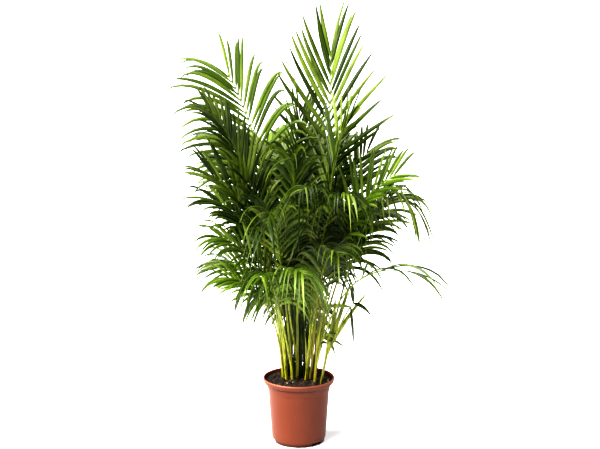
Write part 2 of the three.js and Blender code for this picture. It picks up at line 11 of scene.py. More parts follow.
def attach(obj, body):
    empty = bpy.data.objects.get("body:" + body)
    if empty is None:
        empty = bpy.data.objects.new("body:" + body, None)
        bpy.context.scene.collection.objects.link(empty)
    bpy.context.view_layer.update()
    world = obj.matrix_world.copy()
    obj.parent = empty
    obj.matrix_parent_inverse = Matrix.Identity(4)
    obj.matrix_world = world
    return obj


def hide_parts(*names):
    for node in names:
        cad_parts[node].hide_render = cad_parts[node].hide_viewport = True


mm = 0.001
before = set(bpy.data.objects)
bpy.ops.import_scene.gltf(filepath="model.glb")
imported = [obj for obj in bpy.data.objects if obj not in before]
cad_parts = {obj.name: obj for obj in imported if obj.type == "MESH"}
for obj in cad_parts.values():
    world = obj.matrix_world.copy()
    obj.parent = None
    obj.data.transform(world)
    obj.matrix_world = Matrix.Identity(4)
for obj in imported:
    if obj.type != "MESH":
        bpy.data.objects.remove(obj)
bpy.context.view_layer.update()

# The plant. Each cane stands at `place`, and its stems start at the height `foot`, inside the soil.
# A stem goes through `mid`, halfway, to `tip`. The first one of a cane comes out of the soil, the
# others leave that one `split` further along it than the soil's edge. A spear is an unopened leaf.
# - `bare`: the share of a frond's stem before its first leaflets
# - `leaf`, `wide`: length and width of the longest leaflets
# - `droop`: how far they sag, as a share of their length, towards `hang`, which is down if left out
# - `roll`: turn of both rows of leaflets about the rib, in degrees
# - `open`: widens the angles of the leaflets to the rib
# - `point`: that angle at the frond's tip, in degrees
# - `pairs`: number of leaflets on each side
# - `root`: radius of the stem at its foot
# - `youth`: how lime green the leaflets are, from 0 to 1
plant = {
    "foot": 165,
    "soilEdge": 212,
    "canes": [
        {"place": (24, 30), "fronds": [
            {"mid": (85, 40, 790), "tip": (105, 90, 1300), "bare": 0.6, "leaf": 300, "droop": 0.05,
             "hang": (1, 0, 0.1), "roll": 35, "open": 1.25, "point": 12, "wide": 18, "pairs": 15},
            {"split": 90, "mid": (15, 30, 850), "tip": (5, 60, 1095), "bare": 0.55, "leaf": 255,
             "droop": 0.1, "youth": 0.3},
            {"split": 40, "mid": (65, 130, 800), "tip": (115, 260, 965), "bare": 0.5, "leaf": 240,
             "droop": 0.15, "wide": 22},
        ]},
        {"place": (47, 15), "fronds": [
            {"mid": (140, 70, 725), "tip": (235, 130, 970), "bare": 0.55, "leaf": 245, "droop": 0.25,
             "roll": 45},
            {"split": 60, "mid": (180, 120, 650), "tip": (325, 230, 800), "bare": 0.5, "leaf": 210,
             "droop": 0.35, "roll": 40},
            {"split": 110, "mid": (155, 30, 620), "tip": (240, 60, 760), "bare": 0.54, "leaf": 250,
             "droop": 0.5, "roll": 50},
        ]},
        {"place": (51, -44), "fronds": [
            {"mid": (100, -40, 815), "tip": (160, -100, 1090), "bare": 0.56, "leaf": 250, "droop": 0.12,
             "roll": 40},
            {"split": 70, "mid": (145, -70, 710), "tip": (305, -170, 930), "bare": 0.55, "leaf": 205,
             "droop": 0.12, "roll": 60, "open": 1.15, "youth": 0.12},
            {"split": 40, "mid": (155, -110, 540), "tip": (325, -190, 625), "bare": 0.72, "leaf": 260,
             "droop": 0.55, "roll": -15, "open": 0.65, "pairs": 3},
        ]},
        {"place": (67, -20), "fronds": [
            {"mid": (220, -60, 760), "tip": (355, -120, 825), "bare": 0.6, "leaf": 150, "droop": 1,
             "roll": 20, "open": 1.3, "wide": 10, "youth": 0.05},
            {"split": 110, "mid": (150, -55, 440), "tip": (180, -75, 495), "bare": 0.86, "leaf": 140,
             "droop": 0.3, "roll": 85, "open": 2.1, "wide": 17, "pairs": 2},
        ], "spears": [
            {"split": 100, "mid": (115, -30, 430), "tip": (120, -35, 510), "root": 7},
            {"split": 120, "mid": (140, -35, 455), "tip": (175, -55, 575), "root": 7},
            {"split": 115, "mid": (165, -25, 435), "tip": (230, -40, 525), "root": 7},
        ]},
        {"place": (-18, 42), "fronds": [
            {"mid": (-100, 40, 835), "tip": (-235, 90, 1230), "bare": 0.66, "leaf": 325, "droop": 0.33,
             "roll": -78, "open": 1.1, "wide": 16, "pairs": 17, "youth": 0.15},
            {"split": 80, "mid": (-55, 140, 785), "tip": (-120, 320, 965), "bare": 0.5, "leaf": 240,
             "droop": 0.2, "wide": 22},
            {"split": 50, "mid": (-105, 170, 620), "tip": (-185, 340, 665), "bare": 0.5, "leaf": 220,
             "droop": 0.35, "wide": 22},
        ], "spears": [
            {"split": 25, "mid": (-8, 58, 380), "tip": (-14, 80, 520)},
        ]},
        {"place": (-37, -5), "fronds": [
            {"mid": (-130, -60, 785), "tip": (-280, -130, 1125), "bare": 0.58, "leaf": 210, "droop": 0.2,
             "roll": -70, "open": 0.8},
            {"split": 60, "mid": (-110, -90, 680), "tip": (-270, -170, 925), "bare": 0.66, "leaf": 245,
             "droop": 0.15, "roll": -60, "open": 0.85},
            {"split": 35, "mid": (-95, -110, 560), "tip": (-245, -190, 735), "bare": 0.6, "leaf": 195,
             "droop": 0.35, "roll": -60, "open": 0.85, "youth": 0.2},
        ]},
        {"place": (-50, 58), "fronds": [
            {"mid": (-125, 100, 730), "tip": (-265, 170, 1010), "bare": 0.56, "leaf": 215, "droop": 0.35,
             "roll": -55, "wide": 15},
            {"split": 60, "mid": (-125, 80, 685), "tip": (-255, 160, 930), "bare": 0.56, "leaf": 200,
             "droop": 0.35, "roll": -55},
            {"split": 35, "mid": (-115, 60, 505), "tip": (-245, 110, 600), "bare": 0.64, "leaf": 185,
             "droop": 0.3, "roll": -50},
        ], "spears": [
            {"split": 20, "mid": (-64, 74, 390), "tip": (-72, 92, 540)},
        ]},
        {"place": (-52, 20), "fronds": [
            {"mid": (-115, -20, 620), "tip": (-275, -50, 830), "bare": 0.6, "leaf": 200, "droop": 0.3,
             "roll": -60, "open": 0.8},
            {"split": 40, "mid": (-110, -70, 490), "tip": (-230, -120, 590), "bare": 0.62, "leaf": 170,
             "droop": 0.3, "roll": -50, "youth": 0.3},
            {"split": 70, "mid": (-85, 15, 460), "tip": (-185, 20, 540), "bare": 0.62, "leaf": 155,
             "droop": 0.25, "roll": -50, "youth": 0.5},
        ]},
        {"place": (-4, 8), "fronds": [
            {"mid": (-10, -60, 800), "tip": (-30, -170, 975), "bare": 0.5, "leaf": 230, "droop": 0.4},
            {"split": 60, "mid": (-35, -140, 565), "tip": (10, -290, 640), "bare": 0.5, "leaf": 165,
             "droop": 1, "open": 1.3, "wide": 16, "youth": 0.2},
        ], "spears": [
            {"split": 20, "mid": (-2, 22, 360), "tip": (-2, 34, 480)},
        ]},
        {"place": (18, -16), "fronds": [
            {"mid": (60, -120, 760), "tip": (0, -290, 890), "bare": 0.5, "leaf": 165, "droop": 1,
             "open": 1.3},
            {"split": 60, "mid": (80, -130, 735), "tip": (160, -255, 875), "bare": 0.5, "leaf": 165,
             "droop": 1, "open": 1.3},
            {"split": 35, "mid": (75, -120, 600), "tip": (120, -250, 690), "bare": 0.5, "leaf": 195,
             "droop": 0.5},
        ], "spears": [
            {"split": 15, "mid": (25, -60, 310), "tip": (20, -65, 395)},
        ]},
        {"place": (5, 66), "fronds": [
            {"mid": (0, 140, 750), "tip": (10, 310, 950), "bare": 0.52, "leaf": 240, "droop": 0.25,
             "wide": 23},
            {"split": 60, "mid": (-30, 190, 650), "tip": (-50, 400, 705), "bare": 0.5, "leaf": 230,
             "droop": 0.45, "wide": 23},
            {"split": 35, "mid": (5, 170, 580), "tip": (5, 330, 590), "bare": 0.5, "leaf": 205,
             "droop": 0.45, "wide": 23},
        ], "spears": [
            {"split": 15, "mid": (-10, 80, 380), "tip": (-18, 92, 540)},
        ]},
        {"place": (45, 62), "fronds": [
            {"mid": (135, 190, 615), "tip": (245, 310, 720), "bare": 0.5, "leaf": 210, "droop": 0.4,
             "wide": 15},
            {"split": 60, "mid": (110, 180, 655), "tip": (165, 380, 705), "bare": 0.5, "leaf": 230,
             "droop": 0.4, "wide": 22},
            {"split": 35, "mid": (150, 110, 630), "tip": (250, 215, 735), "bare": 0.5, "leaf": 175,
             "droop": 0.35},
        ], "spears": [
            {"split": 20, "mid": (42, 74, 360), "tip": (38, 86, 500)},
        ]},
        {"place": (-18, -6), "fronds": [
            {"mid": (-65, -140, 715), "tip": (-95, -300, 795), "bare": 0.5, "leaf": 220, "droop": 0.45},
            {"split": 50, "mid": (-80, -135, 550), "tip": (-115, -265, 620), "bare": 0.5, "leaf": 165,
             "droop": 1, "open": 1.3, "wide": 16, "youth": 0.2},
        ]},
        {"place": (36, 2), "fronds": [
            {"mid": (100, 15, 730), "tip": (175, 25, 870), "bare": 0.5, "leaf": 220, "droop": 0.3},
        ]},
        {"place": (20, 88), "fronds": [
            {"mid": (30, 150, 330), "tip": (30, 265, 430), "bare": 0.45, "leaf": 160, "droop": 0.9,
             "wide": 23, "root": 4.5},
            {"split": 40, "mid": (-20, 150, 350), "tip": (-60, 235, 480), "bare": 0.5, "leaf": 150,
             "droop": 0.8, "wide": 23},
            {"split": 30, "mid": (5, 175, 370), "tip": (0, 290, 520), "bare": 0.45, "leaf": 210,
             "droop": 0.9, "wide": 23},
        ], "spears": [
            {"split": 20, "mid": (30, 100, 360), "tip": (34, 108, 480)},
        ]},
        {"place": (66, -48), "fronds": [
            {"mid": (90, -60, 325), "tip": (95, -65, 375), "bare": 0.86, "leaf": 78, "droop": 1,
             "hang": (0.8, 0, -1), "open": 1.2, "wide": 13, "pairs": 2, "root": 2.4},
        ]},
    ],
}


class Field:  # a socket whose value can stand in a formula
    def __init__(self, socket):
        self.socket = socket

    def math(self, operation, *others):
        values = (self, *others)
        isVector = any(isVectorValue(value) for value in values)
        node = self.socket.id_data.nodes.new("ShaderNodeVectorMath" if isVector else "ShaderNodeMath")
        node.operation = operation
        for socket, value in zip(node.inputs, values):
            plug(socket, value)
        toNumber = not isVector or operation in ("DOT_PRODUCT", "LENGTH")
        return Field(node.outputs["Value" if toNumber else "Vector"])

    def __add__(self, other):
        return self.math("ADD", other)

    def __sub__(self, other):
        return self.math("SUBTRACT", other)

    def __mul__(self, other):
        return self.math("MULTIPLY", other)

    def __truediv__(self, other):
        return self.math("DIVIDE", other)

    def __pow__(self, other):
        return self.math("POWER", other)

    def __neg__(self):
        return self * -1

    def __rsub__(self, other):
        return -self + other

    __radd__ = __add__
    __rmul__ = __mul__


def isVectorValue(value):
    return isinstance(value, tuple) or isinstance(value, Field) and value.socket.type == "VECTOR"


def plug(socket, value):
    if isinstance(value, Field):
        socket.id_data.links.new(value.socket, socket)
    elif isinstance(value, bpy.types.NodeSocket):
        socket.id_data.links.new(value, socket)
    elif socket.type == "VECTOR" and isinstance(value, (int, float)):
        socket.default_value = (value,) * 3
    else:
        socket.default_value = value


def blend(low, high, share):
    return low + (high - low) * share


class Tree:  # a node tree with named inputs, and short ways to add its nodes
    def __init__(self, name, sizes):
        self.tree = bpy.data.node_groups.new(name, "GeometryNodeTree")
        interface = self.tree.interface
        interface.new_socket("Geometry", in_out="OUTPUT", socket_type="NodeSocketGeometry")
        for label, kind in sizes.items():
            interface.new_socket(label, in_out="INPUT", socket_type=f"NodeSocket{kind}")
        self.inputs = self.tree.nodes.new("NodeGroupInput")

    def size(self, label):
        return Field(self.inputs.outputs[label])

    def add(self, kind, *values, **settings):
        # a kind without "Node" in it is one of the geometry nodes
        node = self.tree.nodes.new(kind if "Node" in kind else f"GeometryNode{kind}")
        for key, value in settings.items():
            setattr(node, key, value)
        sockets = [socket for socket in node.inputs if socket.enabled]
        for socket, value in zip(sockets, values):
            if value is not None:
                plug(socket, value)
        return node

    def get(self, kind, *values, output=0, **settings):
        node = self.add(kind, *values, **settings)
        return Field([socket for socket in node.outputs if socket.enabled][output])

    def store(self, geometry, name, value, domain="POINT"):
        dataType = "FLOAT_VECTOR" if isVectorValue(value) else "FLOAT"
        return self.get("StoreNamedAttribute", geometry, None, name, value,
                        data_type=dataType, domain=domain)

    def read(self, name, dataType="FLOAT"):
        return self.get("InputNamedAttribute", name, data_type=dataType)

    def draw(self, spread, seed, key):
        # a random number from -spread to spread for each point, `key` sets one draw apart from the next
        return self.get("FunctionNodeRandomValue", -spread, spread, None, seed + key)

    def vector(self, x=0.0, y=0.0, z=0.0):
        return self.get("ShaderNodeCombineXYZ", x, y, z)

    def parts(self, vector):
        node = self.add("ShaderNodeSeparateXYZ", vector)
        return [Field(socket) for socket in node.outputs]

    def finish(self, geometry):
        self.tree.links.new(geometry.socket, self.tree.nodes.new("NodeGroupOutput").inputs[0])
        return self.tree


def added(name, data):
    item = bpy.data.objects.new(name, data)
    bpy.context.collection.objects.link(item)
    return item


def meshOf(name, shape):
    mesh = bpy.data.meshes.new(name)
    shape.to_mesh(mesh)
    shape.free()
    return mesh


def grow(name, tree, sizes):
    # runs a tree on a new object and leaves its result there as a plain mesh
    piece = added(name, bpy.data.meshes.new(name))
    modifier = piece.modifiers.new(tree.name, "NODES")
    modifier.node_group = tree
    for item in tree.interface.items_tree:
        if item.in_out == "INPUT" and item.name in sizes:
            modifier[item.identifier] = sizes[item.name]
    depsgraph = bpy.context.evaluated_depsgraph_get()
    mesh = bpy.data.meshes.new_from_object(
        piece.evaluated_get(depsgraph), preserve_all_data_layers=True, depsgraph=depsgraph
    )
    mesh.name = name
    piece.modifiers.clear()
    piece.data = mesh
    return piece


def joined(name, parts):
    with bpy.context.temp_override(active_object=parts[0], selected_editable_objects=parts):
        bpy.ops.object.join()
    parts[0].name = parts[0].data.name = name
    return parts[0]


def newMaterial(name, **values):
    material = bpy.data.materials.new(name)
    material.use_nodes = True
    shader = material.node_tree.nodes["Principled BSDF"]
    for label, value in values.items():
        shader.inputs[label].default_value = value
    return material, shader


class Paint:  # short ways to add shader nodes
    def __init__(self, material):
        self.tree = material.node_tree
        self.output = self.tree.nodes["Material Output"]

    def add(self, kind, settings=None, **values):
        node = self.tree.nodes.new(kind)
        for key, value in (settings or {}).items():
            setattr(node, key, value)
        for label, value in values.items():
            plug(node.inputs[label], value)
        return node

    def place(self):
        return Field(self.add("ShaderNodeTexCoord").outputs["Object"])

    def height(self, place):
        return Field(self.add("ShaderNodeSeparateXYZ", Vector=place).outputs["Z"])

    def attribute(self, name):
        return Field(self.add("ShaderNodeAttribute", {"attribute_name": name}).outputs["Fac"])

    def noise(self, vector, scale, detail=2.0, roughness=0.5):
        node = self.add("ShaderNodeTexNoise", Vector=vector, Scale=scale, Detail=detail,
                        Roughness=roughness)
        return Field(node.outputs["Fac"])

    def ramp(self, value, stops):
        node = self.add("ShaderNodeValToRGB")
        plug(node.inputs["Fac"], value)
        elements = node.color_ramp.elements
        while len(elements) < len(stops):
            elements.new(0.5)
        for element, (position, colour) in zip(elements, stops):
            element.position = position
            element.color = colour if isinstance(colour, tuple) else (colour, colour, colour, 1)
        return Field(node.outputs["Color"])

    def mix(self, share, low, high):
        node = self.tree.nodes.new("ShaderNodeMix")
        node.data_type = "RGBA"
        for label, value in (("Factor_Float", share), ("A_Color", low), ("B_Color", high)):
            socket = next(socket for socket in node.inputs if socket.identifier == label)
            plug(socket, value)
        return Field(next(socket for socket in node.outputs if socket.identifier == "Result_Color"))

    def bump(self, height, strength, distance):
        node = self.add("ShaderNodeBump", Height=height, Strength=strength, Distance=distance)
        return Field(node.outputs["Normal"])


def rgb(red, green, blue):
    return (red, green, blue, 1.0)


leafColours = {
    "dark": rgb(0.009, 0.019, 0.0012),
    "middle": rgb(0.032, 0.058, 0.0034),
    "light": rgb(0.155, 0.205, 0.028),
    "young": rgb(0.20, 0.32, 0.03),
    "midrib": rgb(0.19, 0.27, 0.02),
    "dryTip": rgb(0.26, 0.20, 0.06),
    "base": rgb(0.20, 0.27, 0.015),
    "shine": rgb(0.27, 0.38, 0.03),  # of the light that comes through
}


def makeLeafMaterial():
    colours = leafColours
    material, shader = newMaterial("leafGreen", Roughness=0.36)
    shader.inputs["Specular IOR Level"].default_value = 0.42
    paint = Paint(material)
    along = paint.attribute("along")
    across = paint.attribute("across")
    tone = paint.attribute("tone")
    youth = paint.attribute("youth")
    cloudy = paint.noise(paint.place(), 14.0, 3.0)
    shade = tone * 0.55 + cloudy * 0.6
    green = paint.ramp(shade, [
        (0.25, colours["dark"]), (0.55, colours["middle"]), (0.85, colours["light"]),
    ])
    green = paint.mix(youth, green, colours["young"])
    midrib = paint.ramp(across.math("ABSOLUTE"), [(0.02, 1.0), (0.11, 0.0)])
    green = paint.mix(midrib * 0.5, green, colours["midrib"])
    tips = paint.ramp(along, [(0.93, 0.0), (1.0, 1.0)])
    green = paint.mix(tips * 0.6, green, colours["dryTip"])
    base = paint.ramp(along, [(0.0, 1.0), (0.10, 0.0)])
    green = paint.mix(base * 0.6, green, colours["base"])
    plug(shader.inputs["Base Color"], green)
    veins = (across * 46.0).math("SINE")
    plug(shader.inputs["Normal"], paint.bump(veins, 0.25, 0.0003))
    light = paint.add("ShaderNodeBsdfTranslucent", Color=paint.mix(0.5, green, colours["shine"]))
    mixed = paint.add("ShaderNodeMixShader")
    mixed.inputs["Fac"].default_value = 0.2
    plug(mixed.inputs[1], shader.outputs["BSDF"])
    plug(mixed.inputs[2], light.outputs["BSDF"])
    plug(paint.output.inputs["Surface"], mixed.outputs["Shader"])
    return material


stalkColours = {
    "dark": rgb(0.055, 0.080, 0.003),
    "light": rgb(0.27, 0.29, 0.010),
    "high": rgb(0.06, 0.10, 0.005),
    "low": rgb(0.24, 0.18, 0.010),
    "rusty": rgb(0.20, 0.085, 0.010),
    "spots": rgb(0.20, 0.09, 0.02),
}


def makeStalkMaterial():
    colours = stalkColours
    material, shader = newMaterial("stalkYellowGreen", Roughness=0.38)
    paint = Paint(material)
    tone = paint.attribute("tone")
    place = paint.place()
    stretched = paint.add("ShaderNodeMapping", Vector=place)
    stretched.inputs["Scale"].default_value = (160.0, 160.0, 9.0)
    streaks = paint.ramp(paint.noise(stretched.outputs["Vector"], 1.0, 3.0), [(0.36, 0.0), (0.62, 1.0)])
    height = paint.height(place)
    low = paint.ramp(height, [(0.19, 1.0), (0.40, 0.0)])
    high = paint.ramp(height, [(0.36, 0.0), (0.68, 1.0)])
    colour = paint.mix(streaks, colours["dark"], colours["light"])
    colour = paint.mix(high * 0.75, colour, colours["high"])
    colour = paint.mix(low * 0.45, colour, colours["low"])
    rusty = paint.ramp(tone + streaks * 0.1, [(0.95, 0.0), (1.03, 1.0)])
    colour = paint.mix(rusty * 0.7, colour, colours["rusty"])
    spots = paint.ramp(paint.noise(place, 120.0, 3.0), [(0.62, 0.0), (0.70, 1.0)])
    colour = paint.mix(spots * low * 0.7, colour, colours["spots"])
    plug(shader.inputs["Base Color"], colour)
    plug(shader.inputs["Normal"], paint.bump(streaks, 0.3, 0.0006))
    return material


# near-black greens that stand in for the shade among the stems: painted shade
shadedShootColours = {
    "dark": rgb(0.012, 0.022, 0.0015),
    "light": rgb(0.040, 0.060, 0.004),
    "tip": rgb(0.06, 0.10, 0.005),
}


def makeShadedShootMaterial():
    colours = shadedShootColours
    material, shader = newMaterial("youngShootGreen", Roughness=0.5)
    paint = Paint(material)
    along = paint.attribute("along")
    cloudy = paint.noise(paint.place(), 60.0, 3.0)
    colour = paint.mix(cloudy, colours["dark"], colours["light"])
    plug(shader.inputs["Base Color"], paint.mix(along * 0.3, colour, colours["tip"]))
    return material


soilColours = {
    "bed": (rgb(0.003, 0.002, 0.0012), rgb(0.016, 0.009, 0.005)),
    "crumbs": (rgb(0.003, 0.002, 0.001), rgb(0.068, 0.04, 0.019)),
    "chips": (rgb(0.45, 0.36, 0.22), rgb(0.72, 0.66, 0.52)),
}


def makeSoilMaterial(name, dark, light, scale):
    material, shader = newMaterial(name, Roughness=0.92)
    paint = Paint(material)
    place = paint.place()
    grain = paint.noise(place, scale, 6.0, 0.65)
    plug(shader.inputs["Base Color"], paint.ramp(grain, [(0.35, dark), (0.72, light)]))
    plug(shader.inputs["Normal"], paint.bump(paint.noise(place, 900.0, 4.0), 0.8, 0.0012))
    return material


potColours = {
    "dark": rgb(0.098, 0.0235, 0.0088),
    "light": rgb(0.128, 0.031, 0.012),
    "scuffs": rgb(0.34, 0.12, 0.06),
    "shadow": rgb(0.022, 0.006, 0.003),  # under the lip and at the foot
    # painted highlight along the top of the rim
    "rim": rgb(0.40, 0.17, 0.11),
}


def makePotMaterial():
    colours = potColours
    material, shader = newMaterial("terracottaPlastic")
    shader.inputs["Specular IOR Level"].default_value = 0.3
    paint = Paint(material)
    place = paint.place()
    cloudy = paint.noise(place, 9.0, 3.0)
    fine = paint.noise(place, 260.0, 4.0)
    colour = paint.mix(cloudy, colours["dark"], colours["light"])
    scuffs = paint.ramp(paint.noise(place, 60.0, 5.0, 0.7), [(0.62, 0.0), (0.75, 1.0)])
    colour = paint.mix(scuffs * 0.12, colour, colours["scuffs"])
    height = paint.height(place)
    # painted shadow: a dark band on the wall just below the lip, where the lip shades it
    lipShadow = paint.ramp(height, [(0.196, 0.0), (0.1985, 1.0), (0.202, 1.0), (0.2045, 0.0)])
    # painted shade: a dark strip round the foot, where the wall turns in underneath
    foot = paint.ramp(height, [(0.008, 1.0), (0.013, 0.0)])
    colour = paint.mix(lipShadow * 0.85, colour, colours["shadow"])
    colour = paint.mix(foot * 0.75, colour, colours["shadow"])
    # painted highlight: the top of the rim made lighter
    rim = paint.ramp(height, [(0.2175, 0.0), (0.2195, 1.0)])
    colour = paint.mix(rim * 0.45, colour, colours["rim"])
    plug(shader.inputs["Base Color"], colour)
    plug(shader.inputs["Roughness"], paint.ramp(fine, [(0.3, 0.38), (0.7, 0.50)]))
    plug(shader.inputs["Normal"], paint.bump(fine, 0.12, 0.0004))
    return material


leafMaterial = makeLeafMaterial()
stalkMaterial = makeStalkMaterial()
shadedShootMaterial = makeShadedShootMaterial()
soilMaterial = makeSoilMaterial("pottingSoil", *soilColours["bed"], 90.0)
crumbMaterial = makeSoilMaterial("soilCrumbs", *soilColours["crumbs"], 45.0)
chipMaterial = makeSoilMaterial("paleChips", *soilColours["chips"], 60.0)
potMaterial = makePotMaterial()
print("materials made")


def onCurve(start, shoulder, tip, share):
    return start * (1 - share) ** 2 + shoulder * 2 * share * (1 - share) + tip * share**2


def alongCurve(start, shoulder, tip, distance):
    # the point that far along the curve from its start, on a fine chain of chords
    steps = 200
    before = start
    for i in range(1, steps + 1):
        point = onCurve(start, shoulder, tip, i / steps)
        reach = (point - before).length
        if distance <= reach:
            return before.lerp(point, distance / reach)
        distance -= reach
        before = point
    return tip


def curveOf(stem, start):
    # start, shoulder and tip of the curve that goes through `mid` halfway
    mid = Vector(stem["mid"]) * mm
    tip = Vector(stem["tip"]) * mm
    return start, mid * 2 - start / 2 - tip / 2, tip


def layOut(canes):
    number = 0
    for cane in canes:
        foot = Vector((*cane["place"], plant["foot"])) * mm
        main = curveOf(cane["fronds"][0], foot)
        for stem in cane["fronds"] + cane.get("spears", []):
            start = foot
            if "split" in stem:
                start = alongCurve(*main, (plant["soilEdge"] + stem["split"] - plant["foot"]) * mm)
            stem["curve"] = curveOf(stem, start)
        for frond in cane["fronds"]:
            number += 1
            frond["number"] = number


leafletSizes = {
    "spacing": 22,  # of leaflets of the full length, shorter ones stand closer
    "fullLength": 280,
    "closest": 0.35,  # share of the spacing that the shortest keep
    "neck": 8,
    "last": 0.985,  # share of the stem where the last pair stands
    "width": 13,
    "fold": 0.6,  # height of the ridge as a share of half the width
    "thickness": 0.7,
    "baseAngle": 55,
    "tipAngle": 20,
    "angleFade": 0.8,
    "lift": 25,
    "sagBend": 2.4,
    "hookBend": 7.0,
    "ribStart": 3.1,
    "ribEnd": 0.9,
    "ribTone": 0.2,
}

# How far each leaflet strays: its angles in degrees, its twist in radians, the rest as shares.
leafletDraws = {
    "turnOut": 4.0,
    "turnUp": 8.0,
    "longer": 0.08,
    "sagMore": 0.3,
    "twist": 0.5,
    "tone": 0.5,
    "hook": 0.5,
}


def sweepTree():
    # a stalk: a grooved section swept along its curve, wider at the foot by a sheath
    tree = Tree("stalkSweep", {
        "Start": "Vector", "Shoulder": "Vector", "Tip": "Vector", "Trim To": "Float",
        "Foot Radius": "Float", "Head Radius": "Float", "Sheath": "Float", "Sheath Length": "Float",
        "Point": "Float", "Groove": "Float", "Tone": "Float", "Material": "Material",
    })
    size = tree.size
    curve = tree.get("CurveQuadraticBezier", 64, size("Start"), size("Shoulder"), size("Tip"))
    curve = tree.get("TrimCurve", curve, None, 0.0, size("Trim To"))
    curve = tree.get("ResampleCurve", curve, None, 40)
    curve = tree.get("SetCurveNormal", curve, mode="Z_UP")
    parameter = tree.add("SplineParameter")
    share, reach = Field(parameter.outputs["Factor"]), Field(parameter.outputs["Length"])
    radius = blend(size("Foot Radius"), size("Head Radius"), share)
    fade = (1.0 - reach / size("Sheath Length")).math("MAXIMUM", 0.0)
    radius = radius + size("Sheath") * fade * fade
    radius = radius * (1.0 - size("Point") * share**4)
    curve = tree.store(curve, "along", share)
    ring = tree.get("CurvePrimitiveCircle", 14, 1.0, mode="RADIUS")
    x, y, z = tree.parts(tree.get("InputPosition"))
    groove = y.math("MAXIMUM", 0.0) * (1.0 - x.math("ABSOLUTE")) * size("Groove")
    ring = tree.get("SetPosition", ring, None, None, tree.vector(y=-groove))
    mesh = tree.get("CurveToMesh", curve, ring, radius, True)
    mesh = tree.store(mesh, "tone", size("Tone"))
    mesh = tree.get("SetShadeSmooth", mesh)
    mesh = tree.get("SetMaterial", mesh, None, size("Material"))
    return tree.finish(tree.get("RealizeInstances", mesh))


